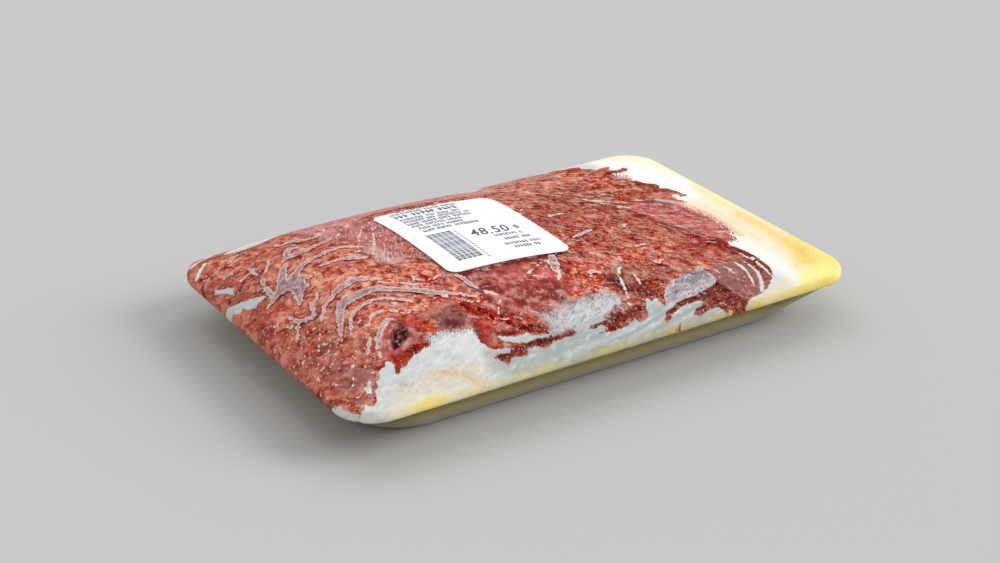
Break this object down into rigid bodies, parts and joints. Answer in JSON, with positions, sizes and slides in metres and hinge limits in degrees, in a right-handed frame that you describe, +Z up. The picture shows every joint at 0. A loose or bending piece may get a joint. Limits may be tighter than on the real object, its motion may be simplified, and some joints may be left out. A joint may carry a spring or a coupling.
{
  "type": "meat tray pack",
  "caption": "Shallow foam tray heaped with minced meat and wrapped in clear stretch film, with a white paper scale label on top.",
  "frame": {"origin": "centre of the pack's footprint, on the surface that it stands on", "axes": "+X along the tray's long side towards the emptier end, +Y across it, +Z up"},
  "size_m": [0.21, 0.1384, 0.0374],
  "materials": {
    "foam": "pale yellow expanded foam, matte, fine beads",
    "minced meat": "moist red mince with cream fat flecks",
    "stretch film": "clear stretched film, glossy, hazy where it stands off the meat",
    "paper": "white thermal label paper with plain grey print"
  },
  "bodies": {
    "root": {"tray": "foam", "meat": "minced meat", "film": "stretch film", "label": "paper"}
  },
  "joints": []
}
